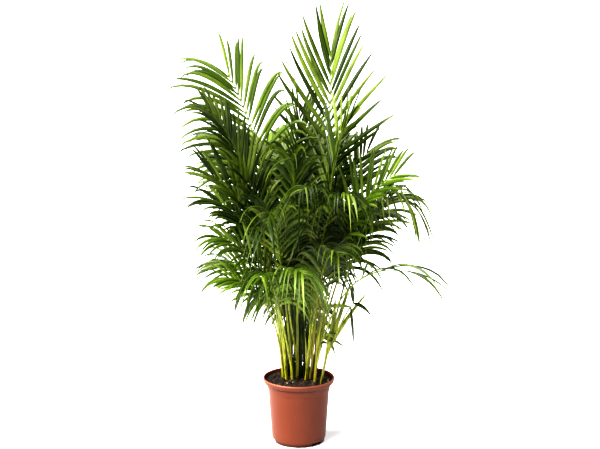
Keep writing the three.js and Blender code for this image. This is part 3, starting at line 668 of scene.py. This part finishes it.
def frondTree():
    # the rib of a frond and its leaflets, each a folded blade drawn out from the rib
    tree = Tree("feather", {
        "Start": "Vector", "Shoulder": "Vector", "Tip": "Vector", "Away": "Vector", "Bare": "Float",
        "First": "Float", "Last": "Float", "Pairs": "Int", "Roll": "Float", "Leaf Length": "Float",
        "Droop": "Float", "Hang": "Vector", "Width": "Float", "Fold": "Float", "Thickness": "Float",
        "Base Angle": "Float", "Tip Angle": "Float", "Lift": "Float", "Rib Start": "Float",
        "Rib End": "Float", "Youth": "Float", "Seed": "Int", "Leaf Material": "Material",
        "Rib Material": "Material",
    })
    sizes = leafletSizes
    size = tree.size
    seed = size("Seed")
    whole = tree.get("CurveQuadraticBezier", 64, size("Start"), size("Shoulder"), size("Tip"))

    rib = tree.get("TrimCurve", whole, None, size("Bare"), 1.0)
    rib = tree.get("ResampleCurve", rib, None, 24)
    share = Field(tree.add("SplineParameter").outputs["Factor"])
    ring = tree.get("CurvePrimitiveCircle", 8, 1.0, mode="RADIUS")
    rib = tree.store(rib, "along", share)
    radius = blend(size("Rib Start"), size("Rib End"), share)
    rib = tree.get("CurveToMesh", rib, ring, radius, True)
    rib = tree.store(rib, "tone", sizes["ribTone"])
    rib = tree.get("SetShadeSmooth", rib)
    rib = tree.get("SetMaterial", rib, None, size("Rib Material"))

    # the leaflets' roots, with the frame of the rib there
    roots = tree.get("TrimCurve", whole, None, size("First"), size("Last"))
    pointsNode = tree.add("CurveToPoints", roots, size("Pairs"), mode="COUNT")
    points, tangent = Field(pointsNode.outputs["Points"]), Field(pointsNode.outputs["Tangent"])
    index = tree.get("InputIndex")
    points = tree.store(points, "share", index / (size("Pairs") - 1.0))
    points = tree.store(points, "ribWay", tangent)
    points = tree.store(points, "root", tree.get("InputPosition"))
    double = tree.add("DuplicateElements", points, None, 2, domain="POINT")
    points = Field(double.outputs["Geometry"])
    points = tree.store(points, "side", 1.0 - 2.0 * Field(double.outputs["Duplicate Index"]))
    for key, (name, spread) in enumerate(leafletDraws.items()):
        points = tree.store(points, name, tree.draw(spread, seed * 10.0, float(key)))

    # one blade: a tube of eight sides, from 0 to 1 along z
    tube = tree.get("MeshCylinder", 8, 9, 1, 1.0, 1.0, fill_type="NGON")
    x, y, z = tree.parts(tree.get("InputPosition"))
    tube = tree.store(tube, "along", z + 0.5)
    tube = tree.store(tube, "across", x)
    tube = tree.store(tube, "skin", y)
    leaves = tree.get("InstanceOnPoints", points, None, tube)
    leaves = tree.get("RealizeInstances", leaves)

    share, side, u = tree.read("share"), tree.read("side"), tree.read("along")
    across, skin = tree.read("across"), tree.read("skin")
    onward = tree.read("ribWay", "FLOAT_VECTOR")
    root = tree.read("root", "FLOAT_VECTOR")
    sideways = tree.vector(z=1.0).math("CROSS_PRODUCT", size("Away"))
    sideways = (sideways - onward * sideways.math("DOT_PRODUCT", onward)).math("NORMALIZE")
    roll = size("Roll")
    aside = sideways * roll.math("COSINE") + onward.math("CROSS_PRODUCT", sideways) * roll.math("SINE")
    above = onward.math("CROSS_PRODUCT", aside)

    radians = math.pi / 180
    angle = blend(size("Base Angle"), size("Tip Angle"), share ** sizes["angleFade"])
    angle = (angle + tree.read("turnOut")) * radians
    lift = (size("Lift") + tree.read("turnUp")) * radians
    outward = aside * side * lift.math("COSINE") + above * lift.math("SINE")
    way = onward * angle.math("COSINE") + outward * angle.math("SINE")
    # the leaflets are longest before the middle of the rib and shorter towards both of its ends
    fullness = 0.55 + 0.45 * ((share * 0.73 + 0.2) * math.pi).math("SINE")
    length = size("Leaf Length") * fullness * (1.0 + tree.read("longer"))
    sag = size("Droop") * (1.0 + tree.read("sagMore"))
    hook = (tree.read("hook") + 0.6) * 0.4 * size("Droop").math("MINIMUM", 0.4)
    sagBend, hookBend = sizes["sagBend"], sizes["hookBend"]
    drop = sag * u**sagBend + hook * u**hookBend
    slope = sag * sagBend * u ** (sagBend - 1) + hook * hookBend * u ** (hookBend - 1)
    centre = root + way * (length * u) + size("Hang") * (length * drop)
    heading = (way + size("Hang") * slope).math("NORMALIZE")
    width = (onward - heading * onward.math("DOT_PRODUCT", heading)).math("NORMALIZE")
    top = (width.math("CROSS_PRODUCT", heading) * side).math("NORMALIZE")
    twist = tree.read("twist") * u
    width, top = (
        width * twist.math("COSINE") + top * twist.math("SINE"),
        top * twist.math("COSINE") - width * twist.math("SINE"),
    )
    outline = (u + 0.012) ** 0.5 * (1.004 - u) ** 0.72 * 2.06  # widest two fifths of the way out
    half = size("Width") / 2.0 * (0.6 + 0.4 * fullness) * outline
    ridge = (1.0 - across.math("ABSOLUTE")) * half * size("Fold")
    place = centre + width * (across * half) + top * (ridge + skin * size("Thickness") / 2.0)
    leaves = tree.get("SetPosition", leaves, None, place)
    leaves = tree.store(leaves, "tone", tree.read("tone") + 0.5)  # from 0 to 1
    leaves = tree.store(leaves, "youth", size("Youth"))
    sharp = tree.get("InputMeshEdgeAngle").math("GREATER_THAN", 1.2)
    leaves = tree.get("SetShadeSmooth", leaves, None, True, domain="FACE")
    leaves = tree.get("SetShadeSmooth", leaves, sharp, False, domain="EDGE")
    leaves = tree.get("SetMaterial", leaves, None, size("Leaf Material"))

    both = tree.tree.nodes.new("GeometryNodeJoinGeometry")
    for part in (rib, leaves):
        tree.tree.links.new(part.socket, both.inputs[0])
    return tree.finish(tree.get("RealizeInstances", Field(both.outputs[0])))


def curveLength(start, shoulder, tip):
    steps = 100
    points = [onCurve(start, shoulder, tip, i / steps) for i in range(steps + 1)]
    return sum((b - a).length for a, b in zip(points, points[1:]))


def makeFrond(tree, frond):
    start, shoulder, tip = frond["curve"]
    sizes = leafletSizes
    length = curveLength(*frond["curve"])
    first = frond["bare"] + sizes["neck"] * mm / length
    closest = sizes["closest"]
    closeness = closest + (1 - closest) * frond["leaf"] / sizes["fullLength"]
    spacing = sizes["spacing"] * mm * closeness
    usualPairs = round((sizes["last"] - first) * length / spacing) + 1
    away = (tip - start) * Vector((1, 1, 0))
    opening = frond.get("open", 1.0)
    piece = grow(f"feather_{frond['number']:02d}", tree, {
        "Start": start,
        "Shoulder": shoulder,
        "Tip": tip,
        "Away": away.normalized(),
        "Bare": frond["bare"],
        "First": first,
        "Last": sizes["last"],
        "Pairs": frond.get("pairs", usualPairs),
        "Roll": math.radians(frond.get("roll", 0)),
        "Leaf Length": frond["leaf"] * mm,
        "Droop": float(frond["droop"]),
        "Hang": Vector(frond.get("hang", (0, 0, -1))).normalized(),
        "Width": frond.get("wide", sizes["width"]) * mm,
        "Fold": sizes["fold"],
        "Thickness": sizes["thickness"] * mm,
        "Base Angle": sizes["baseAngle"] * opening,
        "Tip Angle": float(frond.get("point", sizes["tipAngle"] * opening)),
        "Lift": float(sizes["lift"]),
        "Rib Start": sizes["ribStart"] * mm,
        "Rib End": sizes["ribEnd"] * mm,
        "Youth": frond.get("youth", 0.0),
        "Seed": frond["number"],
        "Leaf Material": leafMaterial,
        "Rib Material": stalkMaterial,
    })
    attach(piece, "root")
    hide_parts(f"frond_{frond['number']:02d}")


stalkSizes = {
    "footRadius": 5.0,  # of the first stalk of a cane
    "splitRadius": 3.4,
    "neckRadius": 2.8,
    "spearRadius": 3.1,
    "sheath": 1.4,
    "sheathLength": 160,
    "groove": 0.45,
    "spearEnd": 0.995,
    "spearPoint": 0.92,  # how much thinner a spear is at its end
}


def makeStalk(tree, stem, isMain, tone):
    sizes = stalkSizes
    start, shoulder, tip = stem["curve"]
    foot = stem.get("root", sizes["footRadius" if isMain else "splitRadius"])
    return grow("stalk", tree, {
        "Start": start,
        "Shoulder": shoulder,
        "Tip": tip,
        "Trim To": stem["bare"],
        "Foot Radius": foot * mm,
        "Head Radius": min(foot, sizes["neckRadius"]) * mm,
        "Sheath": sizes["sheath"] * foot / sizes["footRadius"] * mm,
        "Sheath Length": sizes["sheathLength"] * mm,
        "Point": 0.0,
        "Groove": sizes["groove"],
        "Tone": tone,
        "Material": stalkMaterial,
    })


def makeSpear(tree, stem, material):
    sizes = stalkSizes
    start, shoulder, tip = stem["curve"]
    radius = stem.get("root", sizes["spearRadius"]) * mm
    return grow("spear", tree, {
        "Start": start,
        "Shoulder": shoulder,
        "Tip": tip,
        "Trim To": sizes["spearEnd"],
        "Foot Radius": radius,
        "Head Radius": radius,
        "Sheath": 0.0,
        "Sheath Length": sizes["sheathLength"] * mm,
        "Point": sizes["spearPoint"],
        "Groove": 0.0,
        "Tone": 0.0,
        "Material": material,
    })


def makeCane(tree, cane, number, pick):
    stalks = []
    for i, frond in enumerate(cane["fronds"]):
        stalks.append(makeStalk(tree, frond, i == 0, pick.random()))
    for spear in cane.get("spears", []):
        stalks.append(makeSpear(tree, spear, stalkMaterial))
    piece = joined(f"stems_{number:02d}", stalks)
    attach(piece, "root")
    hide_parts(f"cane_{number:02d}")


shootSizes = {
    "count": 64,
    "turn": 137.5,
    "middle": (0, 50),
    "spread": (60, 40),
    "tall": (170, 360),  # above the soil
    "waist": 0.45,  # share of that height where the shoot starts to lean
    "below": 20,
    "lean": 0.16,
    "stray": 12,
    "radius": (1.6, 2.6),
}


def makeShoots(tree, pick):
    # thin young stems that stand close together behind the canes, in a near-black green that is painted
    # shade
    sizes = shootSizes
    ground = plant["soilEdge"]
    lean = 1 + sizes["lean"]
    shoots = []
    for i in range(sizes["count"]):
        turn = math.radians(sizes["turn"]) * i
        out = math.sqrt((i + 0.5) / sizes["count"])
        x = sizes["middle"][0] + sizes["spread"][0] * out * math.cos(turn)
        y = sizes["middle"][1] + sizes["spread"][1] * out * math.sin(turn)
        tall = pick.uniform(*sizes["tall"])
        stray = pick.uniform(-sizes["stray"], sizes["stray"])
        stem = {
            "mid": (x, y, ground + tall * sizes["waist"]),
            "tip": (x * lean + stray, y * lean, ground + tall),
            "root": pick.uniform(*sizes["radius"]),
        }
        stem["curve"] = curveOf(stem, Vector((x, y, ground - sizes["below"])) * mm)
        shoots.append(makeSpear(tree, stem, shadedShootMaterial))
    piece = joined("youngShoots", shoots)
    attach(piece, "root")


potSizes = {
    "sides": 144,
    "notches": 3,
    "firstNotch": -47.5,  # where it is round the foot, in degrees
    "notchHeight": 10,
    "notchHalf": 20,
    "notchReach": (70, 110),
    "notchSteps": 10,
    "holes": 6,
    "holeRing": 58,
    "holeRadius": 5,
    "holeDepth": 14,
    "sharp": 38,  # edges steeper than this stay crisp
}

# Radius and height of the pot's outline, from the middle of its foot up round the lip and back
# down inside.
potOutline = [
    (0, 0), (83, 0), (86, 0.6), (86.9, 2.4), (87.5, 8), (90.2, 14.6), (90.8, 16.6), (91.2, 20),
    (102.3, 176), (102.6, 178), (104.0, 179.2), (104.6, 180.4), (106.3, 194), (106.9, 198.6),
    (108.2, 200.6), (113, 201.6), (116, 203.4), (117, 206.2), (119.2, 211), (120, 216), (119.8, 219.4),
    (118.6, 220.8), (117, 221), (115.4, 220.2), (114.4, 218), (113.0, 212), (110.4, 207), (106.6, 202.6),
    (104.8, 199), (104.1, 194), (102.3, 180), (100.3, 176), (89.0, 20), (87.6, 14), (85, 3), (0, 3),
]


def spin(name, outline, sides):
    # a closed shell from (radius, height) pairs that start and end on the axis
    shell = bmesh.new()
    rings = []
    for radius, height in outline:
        ring = []
        for i in range(sides if radius > 0 else 1):
            turn = 2 * math.pi * i / sides
            x, y = radius * mm * math.cos(turn), radius * mm * math.sin(turn)
            ring.append(shell.verts.new((x, y, height * mm)))
        rings.append(ring)
    for low, high in zip(rings, rings[1:]):
        for i in range(sides):
            j = (i + 1) % sides
            if len(low) == 1:
                shell.faces.new((low[0], high[j], high[i]))
            elif len(high) == 1:
                shell.faces.new((low[i], low[j], high[0]))
            else:
                shell.faces.new((low[i], low[j], high[j], high[i]))
    return added(name, meshOf(name, shell))


def notchCutter(turn):
    # a flat arch that runs out through the foot of the wall
    sizes = potSizes
    cutter = bmesh.new()
    half, height = sizes["notchHalf"], sizes["notchHeight"]
    arch = [(-half, -height), (half, -height)]
    steps = sizes["notchSteps"]
    for i in range(steps + 1):
        a = math.pi * i / steps
        y = half * math.copysign(abs(math.cos(a)) ** 0.5, math.cos(a))
        arch.append((y, height * math.sin(a) ** 0.6))
    rings = [[cutter.verts.new((x * mm, y * mm, z * mm)) for y, z in arch] for x in sizes["notchReach"]]
    count = len(arch)
    for i in range(count):
        j = (i + 1) % count
        cutter.faces.new((rings[0][i], rings[0][j], rings[1][j], rings[1][i]))
    cutter.faces.new(rings[0])
    cutter.faces.new(reversed(rings[1]))
    bmesh.ops.recalc_face_normals(cutter, faces=cutter.faces)
    cutter.transform(Matrix.Rotation(turn, 4, "Z"))
    return meshOf("notchCutter", cutter)


def holeCutter(turn):
    sizes = potSizes
    cutter = bmesh.new()
    radius = sizes["holeRadius"] * mm
    bmesh.ops.create_cone(cutter, cap_ends=True, segments=20, radius1=radius, radius2=radius,
                          depth=sizes["holeDepth"] * mm)
    ring = sizes["holeRing"] * mm
    cutter.transform(Matrix.Translation((ring * math.cos(turn), ring * math.sin(turn), 0)))
    return meshOf("holeCutter", cutter)


def makePot():
    sizes = potSizes
    piece = spin("terracottaPot", potOutline, sizes["sides"])
    cutters = []
    first = math.radians(sizes["firstNotch"])
    for i in range(sizes["notches"]):
        cutters.append(notchCutter(first + 2 * math.pi * i / sizes["notches"]))
    for i in range(sizes["holes"]):
        cutters.append(holeCutter(first + 2 * math.pi * (i + 0.5) / sizes["holes"]))
    for mesh in cutters:
        cutter = added(mesh.name, mesh)
        modifier = piece.modifiers.new("cut", "BOOLEAN")
        modifier.operation = "DIFFERENCE"
        modifier.solver = "EXACT"
        modifier.object = cutter
        depsgraph = bpy.context.evaluated_depsgraph_get()
        piece.data = bpy.data.meshes.new_from_object(piece.evaluated_get(depsgraph))
        piece.modifiers.clear()
        bpy.data.objects.remove(cutter)
    piece.data.materials.clear()
    piece.data.materials.append(potMaterial)
    piece.data.set_sharp_from_angle(angle=math.radians(sizes["sharp"]))
    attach(piece, "root")
    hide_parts("pot")
    print("pot made,", len(piece.data.polygons), "faces")


soilSizes = {
    "edge": 211,
    "crown": 3,
    "radius": 110,
    "bottom": 186,
    "under": 0.92,  # share of its width at the bottom, as the pot narrows downwards
    "rings": 70,
    "sides": 240,
    "lump": 4.2,
    "lumpScale": 0.055,
    "clods": 0.25,  # their share of the lumps
    "clodScale": 0.11,
}


def soilHeight(x, y):
    sizes = soilSizes
    share = math.hypot(x, y) / sizes["radius"]
    rough = noise.fractal(Vector((x, y, 3.7)) * sizes["lumpScale"], 0.8, 2.2, 5)
    clods = noise.cell(Vector((x, y, 0)) * sizes["clodScale"]) - 0.5
    lump = sizes["lump"] * (rough * (1 - sizes["clods"]) + clods * sizes["clods"])
    flatEdge = min(1.0, 3 * (1 - share) + 0.35)
    return sizes["edge"] + sizes["crown"] * (1 - share * share) + lump * flatEdge


def makeSoil():
    sizes = soilSizes
    ground = bmesh.new()
    middle = ground.verts.new((0, 0, soilHeight(0, 0) * mm))
    rings = []
    for i in range(1, sizes["rings"] + 1):
        radius = sizes["radius"] * i / sizes["rings"]
        ring = []
        for j in range(sizes["sides"]):
            turn = 2 * math.pi * j / sizes["sides"]
            x, y = radius * math.cos(turn), radius * math.sin(turn)
            ring.append(ground.verts.new((x * mm, y * mm, soilHeight(x, y) * mm)))
        rings.append(ring)
    under = sizes["under"]
    low = sizes["bottom"] * mm
    rings.append([ground.verts.new((v.co.x * under, v.co.y * under, low)) for v in rings[-1]])
    bottom = ground.verts.new((0, 0, low))
    count = sizes["sides"]
    for j in range(count):
        k = (j + 1) % count
        ground.faces.new((middle, rings[0][j], rings[0][k]))
        ground.faces.new((bottom, rings[-1][k], rings[-1][j]))
        for inner, outer in zip(rings, rings[1:]):
            ground.faces.new((inner[j], outer[j], outer[k], inner[k]))
    mesh = meshOf("soilBed", ground)
    mesh.materials.append(soilMaterial)
    mesh.shade_smooth()
    piece = added("soilBed", mesh)
    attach(piece, "root")
    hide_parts("soil")
    return piece


def crumbTree():
    tree = Tree("crumbs", {
        "Ground": "Object", "Reach": "Float", "Density": "Float", "Size": "Float", "Stretch": "Float",
        "Sink": "Float", "Seed": "Int", "Material": "Material",
    })
    size = tree.size
    info = tree.add("ObjectInfo", size("Ground"), transform_space="RELATIVE")
    ground = Field(info.outputs["Geometry"])
    x, y, z = tree.parts(tree.get("InputNormal"))
    place = tree.get("InputPosition")
    outward = (place * (1.0, 1.0, 0.0)).math("LENGTH")
    upward = z.math("GREATER_THAN", 0.45) * outward.math("LESS_THAN", size("Reach"))
    spread = tree.add("DistributePointsOnFaces", ground, upward, size("Density"), size("Seed"))
    points = Field(spread.outputs["Points"])
    lump = tree.get("MeshIcoSphere", 1.0, 2)
    turn = tree.get("FunctionNodeRandomValue", (0.0,) * 3, (6.28,) * 3, None, size("Seed") + 1.0,
                    data_type="FLOAT_VECTOR")
    grain = tree.get("FunctionNodeRandomValue", 0.0, 1.0, None, size("Seed") + 2.0)
    scale = size("Size") * (0.3 + 0.9 * grain * grain * grain + 0.25 * grain)
    shape = tree.vector(scale * size("Stretch"), scale, scale * 0.7)
    lumps = tree.get("InstanceOnPoints", points, None, lump, None, None, turn, shape)
    lumps = tree.get("RealizeInstances", lumps)
    rough = tree.get("ShaderNodeTexNoise", tree.get("InputPosition"), 420.0, 2.0)
    push = tree.get("InputNormal") * ((rough - 0.5) * size("Size") * 1.3)
    sink = tree.vector(z=-1.0) * size("Sink")
    lumps = tree.get("SetPosition", lumps, None, None, push + sink)
    lumps = tree.get("SetShadeSmooth", lumps)
    lumps = tree.get("SetMaterial", lumps, None, size("Material"))
    return tree.finish(tree.get("RealizeInstances", lumps))


# What lies on the soil. Each kind: how many on a square metre, size, length as a share of its width,
# how deep it sinks in, seed and material.
crumbKinds = {
    "soilCrumbs": (62000, 2.6, 1.15, 0.4, 11, crumbMaterial),
    "soilBark": (2600, 5.0, 1.9, 1.0, 37, crumbMaterial),
    "paleChips": (1100, 1.15, 2.0, 0.1, 53, chipMaterial),
    "straws": (240, 0.9, 8.0, 0.0, 71, chipMaterial),
}
crumbGap = 2  # left free along the edge of the soil


def makeCrumbs(ground):
    tree = crumbTree()
    for name, (density, size, stretch, sink, seed, material) in crumbKinds.items():
        piece = grow(name, tree, {
            "Ground": ground,
            "Reach": (soilSizes["radius"] - crumbGap - size) * mm,
            "Density": float(density),
            "Size": size * mm,
            "Stretch": stretch,
            "Sink": sink * mm,
            "Seed": seed,
            "Material": material,
        })
        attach(piece, "root")
        print(name, len(piece.data.polygons), "faces")


cameraSizes = {
    "place": (0, -4.041, 1.473),
    "pitch": -10.265,
    "focal": 1247,  # in pixels of the photograph
    "pictureWidth": 600,
    "middle": 298.8,  # pixel column of the optical axis
    "sensor": 36,
    "clipEnd": 9000,
}


def placeCamera():
    sizes = cameraSizes
    data = bpy.data.cameras.new("photoCamera")
    data.sensor_width = sizes["sensor"]
    data.sensor_fit = "HORIZONTAL"
    data.lens = sizes["focal"] / sizes["pictureWidth"] * data.sensor_width
    data.shift_x = (sizes["pictureWidth"] / 2 - sizes["middle"]) / sizes["pictureWidth"]
    data.clip_end = sizes["clipEnd"]
    camera = added("photoCamera", data)
    camera.location = sizes["place"]
    camera.rotation_euler = (math.radians(90 + sizes["pitch"]), 0, 0)
    bpy.context.scene.camera = camera


floorSizes = {
    "radius": 4000,  # metres, so that no edge of it is in sight
    "grey": 0.67,
}


def makeFloor():
    material, shader = newMaterial("paleFloor", Roughness=0.9)
    grey = floorSizes["grey"]
    shader.inputs["Base Color"].default_value = rgb(grey, grey, grey)
    disc = bmesh.new()
    bmesh.ops.create_circle(disc, cap_ends=True, segments=96, radius=floorSizes["radius"])
    mesh = meshOf("paleFloor", disc)
    mesh.materials.append(material)
    floor = added("paleFloor", mesh)


# Each sun: strength, how wide it is, how far it leans from straight above and where it turns to.
lightSizes = {
    "ambient": 0.07,
    "suns": {
        "softKey": (11.2, 60, 46, -62),
        "backLight": (3.0, 60, 40, 130),
    },
}


def placeLights():
    world = bpy.data.worlds.new("studio")
    bpy.context.scene.world = world
    world.use_nodes = True
    background = world.node_tree.nodes["Background"]
    background.inputs["Color"].default_value = rgb(1, 1, 1)
    background.inputs["Strength"].default_value = lightSizes["ambient"]
    for name, (energy, angle, tilt, turn) in lightSizes["suns"].items():
        sun = bpy.data.lights.new(name, "SUN")
        sun.energy = energy
        sun.angle = math.radians(angle)
        lamp = added(name, sun)
        lamp.rotation_euler = (math.radians(tilt), 0, math.radians(turn))


placeCamera()
makeFloor()
placeLights()
bpy.context.scene.view_settings.view_transform = "Standard"
bpy.context.scene.view_settings.look = "Very High Contrast"
print("camera, floor and lights placed")

makePot()
ground = makeSoil()
makeCrumbs(ground)
layOut(plant["canes"])
sweep = sweepTree()
pick = random.Random(4)
for number, cane in enumerate(plant["canes"], 1):
    makeCane(sweep, cane, number, pick)
makeShoots(sweep, pick)
print("stems made")
feather = frondTree()
for cane in plant["canes"]:
    for frond in cane["fronds"]:
        makeFrond(feather, frond)
print("fronds made")
